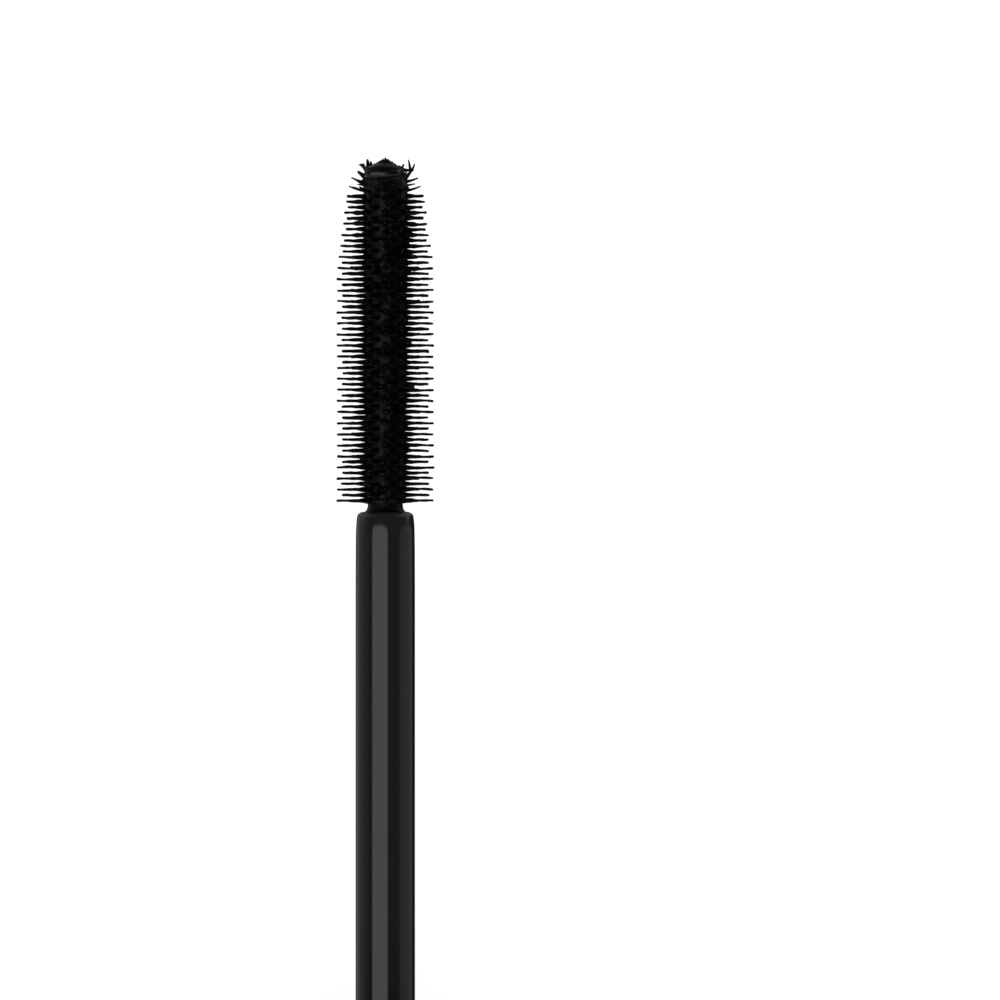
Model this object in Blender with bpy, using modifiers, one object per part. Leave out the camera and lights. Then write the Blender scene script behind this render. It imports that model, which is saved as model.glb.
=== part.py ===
"""A mascara, drawn open: the cap with its wand and brush, and the tube it screws into.

It lies along Y on its flat sides, with the brush pointing at the tube's mouth. Every length along it is
a station, the distance from the cap's closed end when the mascara is screwed shut. The wand's pieces hang
from one empty and the tube's from another, so sliding the first along +Y by OPEN_TRAVEL shuts it.
"""

import math

import bmesh
import bpy
from mathutils import Matrix, Vector

MM = 0.001

# Outside: a rounded square barrel, so that it lies without rolling
BARREL_SIDE = 18.0 * MM
BARREL_CORNER = 5.0 * MM
BARREL_EDGE = 0.5 * MM
CAP_LENGTH = 50.0 * MM
TUBE_START = 51.8 * MM
SHUT_LENGTH = 120.0 * MM

# Motion: the thread lifts the cap, and then the wand is drawn out
THREAD_PITCH = 3.0 * MM
THREAD_TURNS_TO_OPEN = 1.5
THREAD_LIFT = THREAD_PITCH * THREAD_TURNS_TO_OPEN
WAND_DRAW = 84.5 * MM
OPEN_TRAVEL = WAND_DRAW + THREAD_LIFT

# Fits
GAP = 0.3 * MM
SLIM_GAP = 0.15 * MM

# Cap
CAP_BORE = 8.0 * MM
CAP_END_WALL = 2.5 * MM
WEIGHT_START = CAP_END_WALL + GAP
WEIGHT_END = 12.0 * MM
INSERT_START = WEIGHT_END + 2 * GAP
INSERT_END = CAP_LENGTH - 0.5 * MM
INSERT_RADIUS = CAP_BORE - GAP
INSERT_WALL = 1.0 * MM
SEAT = 36.8 * MM
SKIRT_BORE = 6.8 * MM
BOSS_RADIUS = 4.2 * MM
BOSS_START = 22.0 * MM
LINER_RADIUS = 5.7 * MM
LINER_THICKNESS = 1.0 * MM

# Stem and brush
STEM_RADIUS = 2.145 * MM
STEM_START = 24.0 * MM
STEM_END = 88.0 * MM
SHOULDER_RADIUS = 1.55 * MM
SHOULDER_LENGTH = 1.1 * MM
SOCKET_DEPTH = 8.5 * MM
PLUG_RADIUS = 0.85 * MM
NECK_RADIUS = 1.26 * MM
CORE_RADIUS = 0.95 * MM
SLEEVE_BORE = CORE_RADIUS + SLIM_GAP
SLEEVE_RADIUS = 1.30 * MM
SLEEVE_START = 88.60 * MM
SLEEVE_END = 112.75 * MM
BRUSH_TIP = 113.5 * MM
RING_PITCH = 0.3995 * MM
RING_COUNT = 56
FIRST_RING = 88.8 * MM
PIN_REACH = 3.5 * MM
PIN_TIP_SHARE = 0.35
TAPER_START = 105.4 * MM
TAPER_SLOPE = 0.130
PINS_PER_RING = 8
FLATS_PER_RING = 2 * PINS_PER_RING
FLAT_ANGLE = 2 * math.pi / FLATS_PER_RING
# The last rings lean towards the tip: reach, and how far each pin's end is ahead of its root
CROWN_PINS = ((2.60 * MM, 0.45 * MM), (2.42 * MM, 0.80 * MM), (2.02 * MM, 1.05 * MM))

# Tube
NECK_OUTSIDE = 5.8 * MM
NECK_INSIDE = 4.8 * MM
LIP = 38.7 * MM
VIAL_SHOULDER = 53.2 * MM
VIAL_RADIUS = 7.2 * MM
VIAL_WALL = 1.0 * MM
VIAL_END = 117.0 * MM
TUBE_BORE = VIAL_RADIUS + GAP
TUBE_MOUTH = 6.7 * MM
TUBE_SHOULDER_WALL = 1.6 * MM
WIPER_FLANGE = 5.6 * MM
WIPER_TOP = 38.1 * MM
WIPER_RADIUS = 4.6 * MM
WIPER_WALL = 0.5 * MM
WIPER_SLEEVE_END = 44.0 * MM
WIPER_END = 50.0 * MM
WIPER_ORIFICE = 2.25 * MM
PRODUCT_RADIUS = 6.0 * MM
PRODUCT_HOLLOW = 4.3 * MM
PRODUCT_START = 56.0 * MM
PRODUCT_FLOOR = 114.4 * MM
PRODUCT_END = 115.8 * MM
PLUG_START = 117.5 * MM
PLUG_END = SHUT_LENGTH - 0.1 * MM
BASE_PLUG_RADIUS = TUBE_BORE - 0.2 * MM
LABEL_RADIUS = 6.0 * MM
LABEL_THICKNESS = 0.2 * MM
LABEL_RECESS = 0.4 * MM
COLLAR_START = CAP_LENGTH + 0.2 * MM
COLLAR_END = TUBE_START - GAP
COLLAR_BORE = 6.15 * MM
COLLAR_RADIUS = 8.4 * MM

# Thread: ridges on the neck and in the cap's skirt, half a pitch apart when it is shut
RIDGE_BASE = 1.2 * MM
RIDGE_CREST = 0.5 * MM
MALE_CREST = 6.5 * MM
FEMALE_CREST = 6.1 * MM
MALE_START = 41.8 * MM
MALE_TURNS = 1.1
FEMALE_START = MALE_START - THREAD_PITCH / 2
FEMALE_TURNS = 1.4
RIDGE_ROOT = 0.2 * MM
# Shutting turns the cap by one and a half turns, which leaves it half a turn from where it started
SHUT_ANGLE = math.pi

ROUND = 40
ROUND_SLIM = 24
THREAD_STEPS_PER_TURN = 30

AXIS_HEIGHT = BARREL_SIDE / 2
OPEN_LENGTH = SHUT_LENGTH + OPEN_TRAVEL
COLLECTION = "mascara"


def clear_scene():
    for item in list(bpy.data.objects):
        bpy.data.objects.remove(item, do_unlink=True)


def new_collection(name):
    collection = bpy.data.collections.new(name)
    bpy.context.scene.collection.children.link(collection)
    return collection


def material(name, colour, roughness, metallic=0.0):
    made = bpy.data.materials.new(name)
    made.use_nodes = True
    shader = made.node_tree.nodes["Principled BSDF"]
    shader.inputs["Base Color"].default_value = (*colour, 1.0)
    shader.inputs["Roughness"].default_value = roughness
    shader.inputs["Metallic"].default_value = metallic
    return made


def axis_empty(name, start, collection):
    """An empty on the axis, its Z along +Y, at the place of station 0 for the pieces that hang from it."""
    empty = bpy.data.objects.new(name, None)
    empty.location = (0.0, start, AXIS_HEIGHT)
    empty.rotation_euler = (-math.pi / 2, 0.0, 0.0)
    empty.empty_display_size = 0.01
    collection.objects.link(empty)
    return empty


def place(name, mesh, parent, collection, look):
    item = bpy.data.objects.new(name, mesh)
    collection.objects.link(item)
    item.parent = parent
    mesh.materials.append(look)
    return item


def smooth(item):
    item.data.shade_smooth()
    item.data.set_sharp_from_angle(angle=math.radians(35))


def profile_mesh(name, outline, closed):
    """The outline as (radius, station) pairs in the XZ plane, for a Screw modifier to turn."""
    mesh = bpy.data.meshes.new(name)
    points = [(radius, 0.0, station) for radius, station in outline]
    edges = [(i, i + 1) for i in range(len(points) - 1)]
    if closed:
        edges.append((len(points) - 1, 0))
    mesh.from_pydata(points, edges, [])
    return mesh


def turn(item, steps):
    screw = item.modifiers.new("Turn", "SCREW")
    screw.axis = "Z"
    screw.angle = 2 * math.pi
    screw.steps = steps
    screw.render_steps = steps
    screw.use_merge_vertices = True
    screw.merge_threshold = 1e-6


def turned(name, outline, parent, collection, look, closed=False, steps=ROUND):
    """A turned piece. Its outline runs down the outside, from the far end to the near end."""
    item = place(name, profile_mesh(name, outline, closed), parent, collection, look)
    turn(item, steps)
    return item


def cutter_from(name, outline, parent, collection):
    item = bpy.data.objects.new(name, profile_mesh(name, outline, closed=False))
    collection.objects.link(item)
    item.parent = parent
    item.hide_render = True
    item.display_type = "WIRE"
    turn(item, ROUND)
    return item


def add_boolean(item, other, operation):
    boolean = item.modifiers.new(operation.title(), "BOOLEAN")
    boolean.operation = operation
    boolean.object = other
    boolean.solver = "EXACT"


def is_along(edge):
    return abs(edge.verts[0].co.z - edge.verts[1].co.z) > BARREL_CORNER


def is_rim(edge):
    return len({face.normal.z > 0.9 or face.normal.z < -0.9 for face in edge.link_faces}) == 2


def barrel_mesh(name, start, end):
    """A rounded square bar between two stations, with its end edges eased."""
    bm = bmesh.new()
    size = Matrix.Diagonal((BARREL_SIDE, BARREL_SIDE, end - start, 1.0))
    middle = Matrix.Translation((0.0, 0.0, (start + end) / 2))
    bmesh.ops.create_cube(bm, size=1.0, matrix=middle @ size)
    along = [edge for edge in bm.edges if is_along(edge)]
    bmesh.ops.bevel(bm, geom=along, offset=BARREL_CORNER, segments=7, profile=0.5, affect="EDGES")
    bm.normal_update()
    rims = [edge for edge in bm.edges if is_rim(edge)]
    bmesh.ops.bevel(bm, geom=rims, offset=BARREL_EDGE, segments=2, profile=0.5, affect="EDGES")
    mesh = bpy.data.meshes.new(name)
    bm.to_mesh(mesh)
    bm.free()
    return mesh


def ridge(name, crest, root, start, turns, first_angle, parent, collection):
    """A right-hand thread ridge, swept from its four-sided section and closed at both ends."""
    bm = bmesh.new()
    half_base = RIDGE_BASE / 2
    half_crest = RIDGE_CREST / 2
    corners = ((root, -half_base), (crest, -half_crest), (crest, half_crest), (root, half_base))
    section = bm.faces.new([bm.verts.new((radius, 0.0, start + along)) for radius, along in corners])
    steps = round(turns * THREAD_STEPS_PER_TURN)
    step_rise = Vector((0.0, 0.0, THREAD_PITCH * turns / steps))
    bmesh.ops.spin(
        bm,
        geom=[section, *section.edges, *section.verts],
        cent=(0.0, 0.0, 0.0),
        axis=(0.0, 0.0, 1.0),
        dvec=step_rise,
        angle=2 * math.pi * turns,
        steps=steps,
        use_merge=False,
        use_duplicate=False,
    )
    bmesh.ops.rotate(bm, verts=bm.verts, matrix=Matrix.Rotation(first_angle, 3, "Z"))
    bmesh.ops.recalc_face_normals(bm, faces=bm.faces)
    mesh = bpy.data.meshes.new(name)
    bm.to_mesh(mesh)
    bm.free()
    item = bpy.data.objects.new(name, mesh)
    collection.objects.link(item)
    item.parent = parent
    item.hide_render = True
    item.display_type = "WIRE"
    return item


def cap_shell(parent, parts, cutters, look):
    shell = place("cap_shell", barrel_mesh("cap_shell", 0.0, CAP_LENGTH), parent, parts, look)
    past = CAP_LENGTH + 2 * MM
    outline = [(0.0, past), (CAP_BORE, past), (CAP_BORE, CAP_END_WALL), (0.0, CAP_END_WALL)]
    add_boolean(shell, cutter_from("cap_bore_cutter", outline, parent, cutters), "DIFFERENCE")


def cap_weight(parent, parts, look):
    edge = 0.5 * MM
    outline = [
        (0.0, WEIGHT_END),
        (INSERT_RADIUS - edge, WEIGHT_END),
        (INSERT_RADIUS, WEIGHT_END - edge),
        (INSERT_RADIUS, WEIGHT_START + edge),
        (INSERT_RADIUS - edge, WEIGHT_START),
        (0.0, WEIGHT_START),
    ]
    turned("cap_weight", outline, parent, parts, look)


def cap_insert(parent, parts, cutters, look):
    """The threaded skirt and the boss that holds the stem, with a ring-shaped hollow behind them."""
    socket = STEM_RADIUS + SLIM_GAP
    hollow = SEAT - 2.5 * MM
    outline = [
        (0.0, STEM_START - GAP),
        (socket, STEM_START - GAP),
        (socket, SEAT),
        (SKIRT_BORE, SEAT),
        (SKIRT_BORE, INSERT_END),
        (INSERT_RADIUS, INSERT_END),
        (INSERT_RADIUS, INSERT_START),
        (INSERT_RADIUS - INSERT_WALL, INSERT_START),
        (INSERT_RADIUS - INSERT_WALL, hollow),
        (BOSS_RADIUS, hollow),
        (BOSS_RADIUS, BOSS_START),
        (0.0, BOSS_START),
    ]
    insert = turned("cap_insert", outline, parent, parts, look)
    thread = ridge(
        "cap_thread",
        FEMALE_CREST,
        SKIRT_BORE + RIDGE_ROOT,
        FEMALE_START,
        FEMALE_TURNS,
        SHUT_ANGLE,
        parent,
        cutters,
    )
    add_boolean(insert, thread, "UNION")


def cap_liner(parent, parts, look):
    """The sealing washer, which the neck's lip lifts into its seat as the cap is screwed down."""
    near = SEAT + 0.2 * MM + THREAD_LIFT
    far = near + LINER_THICKNESS
    bore = STEM_RADIUS + 1.5 * SLIM_GAP
    outline = [(LINER_RADIUS, far), (LINER_RADIUS, near), (bore, near), (bore, far)]
    turned("cap_liner", outline, parent, parts, look, closed=True)


def stem(parent, parts, look):
    """The rod, with a rounded shoulder at the brush and a blind hole for the brush's plug."""
    outline = [(0.0, STEM_END - SOCKET_DEPTH)]
    outline.append((PLUG_RADIUS + SLIM_GAP, STEM_END - SOCKET_DEPTH))
    outline.append((PLUG_RADIUS + SLIM_GAP, STEM_END))
    arc_steps = 5
    for i in range(arc_steps + 1):
        angle = math.pi / 2 * i / arc_steps
        radius = SHOULDER_RADIUS + (STEM_RADIUS - SHOULDER_RADIUS) * math.sin(angle)
        outline.append((radius, STEM_END - SHOULDER_LENGTH * (1 - math.cos(angle))))
    chamfer = 0.4 * MM
    outline.append((STEM_RADIUS, STEM_START + chamfer))
    outline.append((STEM_RADIUS - chamfer, STEM_START))
    outline.append((0.0, STEM_START))
    turned("stem", outline, parent, parts, look, steps=ROUND_SLIM)


def brush_core(parent, parts, look):
    """The stiff pin: a plug in the stem, a neck, and the rod inside the bristles."""
    neck_start = STEM_END + SLIM_GAP
    neck_end = SLEEVE_START - SLIM_GAP
    tip = SLEEVE_END - 4 * SLIM_GAP
    outline = [
        (0.0, tip),
        (CORE_RADIUS * 0.6, tip - 0.15 * MM),
        (CORE_RADIUS, tip - 0.6 * MM),
        (CORE_RADIUS, neck_end),
        (NECK_RADIUS, neck_end),
        (NECK_RADIUS, neck_start),
        (PLUG_RADIUS, neck_start),
        (PLUG_RADIUS, STEM_END - SOCKET_DEPTH + 2 * GAP),
        (0.0, STEM_END - SOCKET_DEPTH + GAP),
    ]
    turned("brush_core", outline, parent, parts, look, steps=16)


def pin_end(ring):
    """(reach, lean) of one ring of pins, counted from the stem."""
    if ring >= RING_COUNT:
        return CROWN_PINS[ring - RING_COUNT]
    height = FIRST_RING + ring * RING_PITCH
    return PIN_REACH - TAPER_SLOPE * max(0.0, height - TAPER_START), 0.0


def sleeve_bmesh(rings):
    """The moulded sleeve: one band of 16 flats for each ring of pins, a bore, and a pointed end."""
    first = FIRST_RING - RING_PITCH / 2
    bands = [first + RING_PITCH * i for i in range(rings + 1)]
    outline = [(0.0, BRUSH_TIP), (SLEEVE_RADIUS * 0.75, SLEEVE_END)]
    outline += [(SLEEVE_RADIUS, station) for station in reversed(bands)]
    outline += [(SLEEVE_BORE, first), (SLEEVE_BORE, SLEEVE_END - 3 * SLIM_GAP)]
    outline.append((0.0, SLEEVE_END - 2 * SLIM_GAP))
    bm = bmesh.new()
    row = [bm.verts.new((radius, 0.0, station)) for radius, station in outline]
    edges = [bm.edges.new(pair) for pair in zip(row, row[1:])]
    bmesh.ops.spin(
        bm,
        geom=row + edges,
        cent=(0.0, 0.0, 0.0),
        axis=(0.0, 0.0, 1.0),
        angle=2 * math.pi,
        steps=FLATS_PER_RING,
        use_merge=True,
        use_duplicate=False,
    )
    bmesh.ops.remove_doubles(bm, verts=bm.verts, dist=1e-7)
    bmesh.ops.recalc_face_normals(bm, faces=bm.faces)
    bmesh.ops.rotate(bm, verts=bm.verts, matrix=Matrix.Rotation(-FLAT_ANGLE / 2, 3, "Z"))
    return bm


def is_pin_root(face, ring, rings):
    """Whether this is an outside flat of the sleeve that carries a pin: every other one, staggered."""
    centre = face.calc_center_median()
    outside = face.normal.x * centre.x + face.normal.y * centre.y > 0
    upright = abs(face.normal.z) < 0.01
    step = round(math.atan2(centre.y, centre.x) / FLAT_ANGLE)
    return upright and outside and 0 <= ring < rings and (step + ring) % 2 == 0


def grow_pins(bm, rings):
    """Raises every other flat of each ring to a blunt pin, with alternate rings half a step round."""
    for ring in range(rings):
        station = FIRST_RING + ring * RING_PITCH
        band = [face for face in bm.faces if abs(face.calc_center_median().z - station) < RING_PITCH / 4]
        roots = [face for face in band if is_pin_root(face, ring, rings)]
        reach, lean = pin_end(ring)
        for face in bmesh.ops.extrude_discrete_faces(bm, faces=roots)["faces"]:
            centre = face.calc_center_median()
            across = Vector((centre.x, centre.y, 0.0)).normalized() * reach
            end = Vector((across.x, across.y, centre.z + lean))
            for vertex in face.verts:
                vertex.co = end + (vertex.co - centre) * PIN_TIP_SHARE


def brush_bristles(parent, parts, look):
    rings = RING_COUNT + len(CROWN_PINS)
    bm = sleeve_bmesh(rings)
    grow_pins(bm, rings)
    mesh = bpy.data.meshes.new("brush_bristles")
    bm.to_mesh(mesh)
    bm.free()
    place("brush_bristles", mesh, parent, parts, look)


def tube_shell(parent, parts, cutters, look):
    """The outer tube, open at its base for the vial and at its shoulder for the neck."""
    shell = place("tube_shell", barrel_mesh("tube_shell", TUBE_START, SHUT_LENGTH), parent, parts, look)
    step = TUBE_START + TUBE_SHOULDER_WALL
    far = SHUT_LENGTH + 2 * MM
    near = TUBE_START - 2 * MM
    outline = [(0.0, far), (TUBE_BORE, far), (TUBE_BORE, step)]
    outline += [(TUBE_MOUTH, step), (TUBE_MOUTH, near), (0.0, near)]
    add_boolean(shell, cutter_from("tube_bore_cutter", outline, parent, cutters), "DIFFERENCE")


def vial(parent, parts, cutters, look):
    """The inner bottle that holds the product, with its threaded neck."""
    inside = VIAL_RADIUS - VIAL_WALL
    outline = [
        (0.0, VIAL_END),
        (VIAL_RADIUS - 0.6 * MM, VIAL_END),
        (VIAL_RADIUS, VIAL_END - 0.6 * MM),
        (VIAL_RADIUS, VIAL_SHOULDER + 0.8 * MM),
        (VIAL_RADIUS - 0.3 * MM, VIAL_SHOULDER + 0.5 * MM),
        (NECK_OUTSIDE, VIAL_SHOULDER),
        (NECK_OUTSIDE, LIP),
        (NECK_INSIDE, LIP),
        (NECK_INSIDE, VIAL_SHOULDER + 0.4 * MM),
        (inside, VIAL_SHOULDER + 1.8 * MM),
        (inside, VIAL_END - VIAL_WALL),
        (0.0, VIAL_END - VIAL_WALL),
    ]
    bottle = turned("vial", outline, parent, parts, look)
    thread = ridge(
        "neck_thread",
        MALE_CREST,
        NECK_OUTSIDE - RIDGE_ROOT,
        MALE_START,
        MALE_TURNS,
        0.0,
        parent,
        cutters,
    )
    add_boolean(bottle, thread, "UNION")


def wiper(parent, parts, look):
    """The soft insert in the neck: a flange on the lip, a sleeve, and a cone down to the orifice."""
    inside = WIPER_RADIUS - WIPER_WALL
    outline = [
        (WIPER_ORIFICE + WIPER_WALL, WIPER_END),
        (WIPER_RADIUS, WIPER_SLEEVE_END),
        (WIPER_RADIUS, WIPER_TOP + WIPER_WALL),
        (WIPER_FLANGE, WIPER_TOP + WIPER_WALL),
        (WIPER_FLANGE, WIPER_TOP),
        (inside, WIPER_TOP),
        (inside, WIPER_SLEEVE_END),
        (WIPER_ORIFICE, WIPER_END),
    ]
    turned("wiper", outline, parent, parts, look, closed=True)


def product(parent, parts, look):
    """The mascara itself, a thick lining of the vial round the hollow that the brush leaves."""
    outline = [
        (0.0, PRODUCT_END),
        (PRODUCT_RADIUS, PRODUCT_END),
        (PRODUCT_RADIUS, PRODUCT_START),
        (PRODUCT_HOLLOW, PRODUCT_START),
        (PRODUCT_HOLLOW, PRODUCT_FLOOR),
        (0.0, PRODUCT_FLOOR),
    ]
    turned("product", outline, parent, parts, look, steps=ROUND_SLIM)


def base_plug(parent, parts, look):
    recess = PLUG_END - LABEL_RECESS
    rim = LABEL_RADIUS + GAP
    outline = [
        (0.0, recess),
        (rim, recess),
        (rim, PLUG_END),
        (BASE_PLUG_RADIUS, PLUG_END),
        (BASE_PLUG_RADIUS, PLUG_START),
        (0.0, PLUG_START),
    ]
    turned("base_plug", outline, parent, parts, look)


def base_label(parent, parts, look):
    near = PLUG_END - LABEL_RECESS + 0.1 * MM
    far = near + LABEL_THICKNESS
    outline = [(0.0, far), (LABEL_RADIUS, far), (LABEL_RADIUS, near), (0.0, near)]
    turned("base_label", outline, parent, parts, look)


def collar_ring(parent, parts, look):
    edge = 0.3 * MM
    outline = [
        (COLLAR_RADIUS - edge, COLLAR_END),
        (COLLAR_RADIUS, COLLAR_END - edge),
        (COLLAR_RADIUS, COLLAR_START + edge),
        (COLLAR_RADIUS - edge, COLLAR_START),
        (COLLAR_BORE, COLLAR_START),
        (COLLAR_BORE, COLLAR_END),
    ]
    turned("collar_ring", outline, parent, parts, look, closed=True)


def build():
    clear_scene()
    parts = new_collection(COLLECTION)
    cutters = new_collection("cutters")
    gloss_black = material("gloss_black", (0.010, 0.010, 0.011), 0.12)
    moulded_black = material("moulded_black", (0.014, 0.014, 0.015), 0.35)
    rod_black = material("rod_black", (0.012, 0.011, 0.012), 0.22)
    brush_black = material("brush_black", (0.006, 0.006, 0.006), 0.40)
    natural_white = material("natural_white", (0.80, 0.80, 0.78), 0.40)
    soft_white = material("soft_white", (0.85, 0.85, 0.84), 0.55)
    wet_black = material("wet_black", (0.004, 0.004, 0.004), 0.15)
    steel = material("steel", (0.45, 0.45, 0.46), 0.35, metallic=1.0)
    plated = material("plated", (0.30, 0.30, 0.31), 0.18, metallic=1.0)
    paper = material("paper", (0.60, 0.60, 0.60), 0.60)

    wand = axis_empty("wand_axis", -OPEN_LENGTH / 2, parts)
    tube = axis_empty("tube_axis", -OPEN_LENGTH / 2 + OPEN_TRAVEL, parts)

    cap_shell(wand, parts, cutters, gloss_black)
    cap_weight(wand, parts, steel)
    cap_insert(wand, parts, cutters, moulded_black)
    cap_liner(wand, parts, soft_white)
    stem(wand, parts, rod_black)
    brush_core(wand, parts, moulded_black)
    brush_bristles(wand, parts, brush_black)

    tube_shell(tube, parts, cutters, gloss_black)
    vial(tube, parts, cutters, natural_white)
    wiper(tube, parts, natural_white)
    product(tube, parts, wet_black)
    base_plug(tube, parts, gloss_black)
    base_label(tube, parts, paper)
    collar_ring(tube, parts, plated)

    bpy.context.view_layer.update()
    for item in parts.objects:
        if item.type == "MESH":
            smooth(item)


build()
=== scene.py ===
"""The looks of the mascara: every surface that shows, its materials, and the floor, lights and camera.

The frame lies along Y, with the wand's cap at -Y and the tube at +Y, and rests on the floor at z = 0.
A station is a distance along a part. The wand's are measured from the cap's closed end, and the tube's
from the place where that end lies when the mascara is shut, so both are those of the shut mascara.
A piece is made in its own coordinates, in metres, with Z along its axis and its stations as heights.
"""

import math
import random

import bmesh
import bpy
from mathutils import Matrix, Vector


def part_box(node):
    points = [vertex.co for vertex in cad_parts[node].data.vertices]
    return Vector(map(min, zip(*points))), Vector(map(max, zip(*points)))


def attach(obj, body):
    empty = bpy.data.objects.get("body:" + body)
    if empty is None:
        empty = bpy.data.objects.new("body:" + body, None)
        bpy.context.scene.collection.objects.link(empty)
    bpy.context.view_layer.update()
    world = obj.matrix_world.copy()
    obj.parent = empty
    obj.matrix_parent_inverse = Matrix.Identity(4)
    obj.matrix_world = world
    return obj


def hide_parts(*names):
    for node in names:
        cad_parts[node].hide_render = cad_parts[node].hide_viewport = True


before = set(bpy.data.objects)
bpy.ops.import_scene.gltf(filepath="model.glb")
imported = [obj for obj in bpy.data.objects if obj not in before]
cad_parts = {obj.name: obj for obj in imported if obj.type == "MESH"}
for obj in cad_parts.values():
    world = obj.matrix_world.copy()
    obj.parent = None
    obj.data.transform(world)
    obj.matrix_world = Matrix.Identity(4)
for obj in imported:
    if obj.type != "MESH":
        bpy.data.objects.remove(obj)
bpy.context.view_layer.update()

MM = 0.001

# Places, read from the frame
CAP_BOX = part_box("cap_shell")
TUBE_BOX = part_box("tube_shell")
AXIS_HEIGHT = (CAP_BOX[0].z + CAP_BOX[1].z) / 2
WAND_ZERO = CAP_BOX[0].y
CAP_LENGTH = CAP_BOX[1].y - WAND_ZERO
BARREL_SIDE = CAP_BOX[1].x - CAP_BOX[0].x
SHUT_LENGTH = 120.0 * MM
TUBE_ZERO = TUBE_BOX[1].y - SHUT_LENGTH

# The barrel of the cap and the tube
BARREL_CORNER = 5.0 * MM
BARREL_EDGE = 0.5 * MM

# The thread between them: where the neck's begins, and the shape of both ridges
MALE_START = 41.8 * MM
THREAD_PITCH = 3.0 * MM
THREAD_HALF_BASE = 0.6 * MM
THREAD_HALF_CREST = 0.25 * MM
THREAD_SINK = 0.2 * MM

# How finely round shapes are divided, and the angle from which an edge shows
SEGMENTS = 128
FINE_ARC = 6
COARSE_ARC = 3
SHARP_ANGLE = math.radians(32)


def ends_of(node, zero):
    """The stations of a CAD node's near and far ends."""
    low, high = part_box(node)
    return low.y - zero, high.y - zero


def radius_of(node):
    low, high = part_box(node)
    return (high.x - low.x) / 2


# ---------------------------------------------------------------- materials

# Most values of a noise pattern lie between these
NOISE_LOW = 0.3
NOISE_HIGH = 0.7


def new_material(name, colour, roughness, metallic=0.0):
    """(material, its node tree, its Principled shader)."""
    made = bpy.data.materials.new(name)
    made.use_nodes = True
    tree = made.node_tree
    shader = tree.nodes["Principled BSDF"]
    shader.inputs["Base Color"].default_value = (*colour, 1.0)
    shader.inputs["Roughness"].default_value = roughness
    shader.inputs["Metallic"].default_value = metallic
    return made, tree, shader


def noise(tree, scale, detail=3.0, stretch=(1.0, 1.0, 1.0)):
    """A noise pattern in the piece's own coordinates, in metres. Returns its Fac socket."""
    places = tree.nodes.new("ShaderNodeTexCoord")
    mapping = tree.nodes.new("ShaderNodeMapping")
    mapping.inputs["Scale"].default_value = stretch
    pattern = tree.nodes.new("ShaderNodeTexNoise")
    pattern.inputs["Scale"].default_value = scale
    pattern.inputs["Detail"].default_value = detail
    tree.links.new(places.outputs["Object"], mapping.inputs["Vector"])
    tree.links.new(mapping.outputs["Vector"], pattern.inputs["Vector"])
    return pattern.outputs["Fac"]


def spread(tree, value, low, high, out_low, out_high):
    """value from low..high to out_low..out_high, held at both ends."""
    made = tree.nodes.new("ShaderNodeMapRange")
    made.inputs["From Min"].default_value = low
    made.inputs["From Max"].default_value = high
    made.inputs["To Min"].default_value = out_low
    made.inputs["To Max"].default_value = out_high
    tree.links.new(value, made.inputs["Value"])
    return made.outputs["Result"]


def bump(tree, shader, height, distance, strength):
    made = tree.nodes.new("ShaderNodeBump")
    made.inputs["Strength"].default_value = strength
    made.inputs["Distance"].default_value = distance
    tree.links.new(height, made.inputs["Height"])
    tree.links.new(made.outputs["Normal"], shader.inputs["Normal"])


def mix_colours(tree, factor, first, second):
    made = tree.nodes.new("ShaderNodeMix")
    made.data_type = "RGBA"
    made.inputs["A"].default_value = (*first, 1.0)
    made.inputs["B"].default_value = (*second, 1.0)
    tree.links.new(factor, made.inputs["Factor"])
    return made.outputs["Result"]


def vary_roughness(tree, shader, pattern, least, most, low=NOISE_LOW, high=NOISE_HIGH):
    """Takes the roughness from least to most as the pattern goes from low to high."""
    tree.links.new(spread(tree, pattern, low, high, least, most), shader.inputs["Roughness"])


def vary_colour(tree, shader, pattern, first, second):
    """Takes the colour from first to second as a noise pattern rises."""
    tone = mix_colours(tree, spread(tree, pattern, NOISE_LOW, NOISE_HIGH, 0.0, 1.0), first, second)
    tree.links.new(tone, shader.inputs["Base Color"])


def lacquer_material():
    """Gloss black of the cap and tube: a hard, clear surface with a slight orange peel."""
    made, tree, shader = new_material("lacquer_black", (0.0055, 0.0055, 0.0060), 0.10)
    shader.inputs["Coat Weight"].default_value = 0.6
    shader.inputs["Coat Roughness"].default_value = 0.03
    vary_roughness(tree, shader, noise(tree, 260.0), 0.08, 0.16)
    bump(tree, shader, noise(tree, 900.0, detail=1.0), 0.002 * MM, 0.25)
    return made


def rod_material():
    """The stem's extruded black: gloss, with faint lines along it."""
    made, tree, shader = new_material("rod_black", (0.0114, 0.0100, 0.0105), 0.09)
    lines = noise(tree, 1500.0, detail=2.0, stretch=(1.0, 0.02, 1.0))
    vary_roughness(tree, shader, lines, 0.06, 0.12)
    bump(tree, shader, lines, 0.001 * MM, 0.3)
    return made


def moulded_material():
    """The threaded insert: plain moulded plastic with a fine, even grain."""
    made, tree, shader = new_material("moulded_black", (0.010, 0.010, 0.011), 0.38)
    grain = noise(tree, 3000.0, detail=2.0)
    vary_roughness(tree, shader, grain, 0.33, 0.46)
    bump(tree, shader, grain, 0.004 * MM, 0.4)
    return made


def wet_material():
    """Wet black mascara: a soft black body under a wet film."""
    made, tree, shader = new_material("wet_black", (0.0022, 0.0022, 0.0024), 0.2)
    lumps = noise(tree, 2600.0, detail=4.0)
    vary_roughness(tree, shader, lumps, 0.14, 0.34)
    bump(tree, shader, lumps, 0.03 * MM, 0.7)
    return made


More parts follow.
